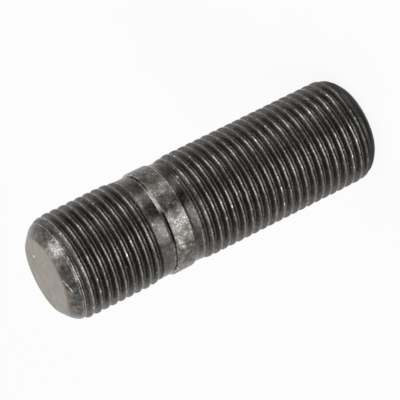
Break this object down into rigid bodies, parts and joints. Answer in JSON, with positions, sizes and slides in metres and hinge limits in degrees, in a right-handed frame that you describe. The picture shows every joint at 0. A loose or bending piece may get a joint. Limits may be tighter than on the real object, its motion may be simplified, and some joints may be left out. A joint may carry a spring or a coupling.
{
  "type": "wheel stud",
  "caption": "Double-ended wheel stud: a right-hand fine thread on each end, a plain collar between plain necks, and bevelled flat end faces.",
  "frame": {"origin": "centre of the flat end face at the nut end, which the stud stands on", "axes": "+Z along the stud's axis, from the nut end up to the hub end"},
  "size_m": [0.0178, 0.0178, 0.0581],
  "materials": {
    "phosphated_steel": "dark oiled phosphate over rolled steel, worn bright on the crests and collar, with ground end faces"
  },
  "bodies": {
    "root": {"stud": "phosphated_steel"}
  },
  "joints": []
}
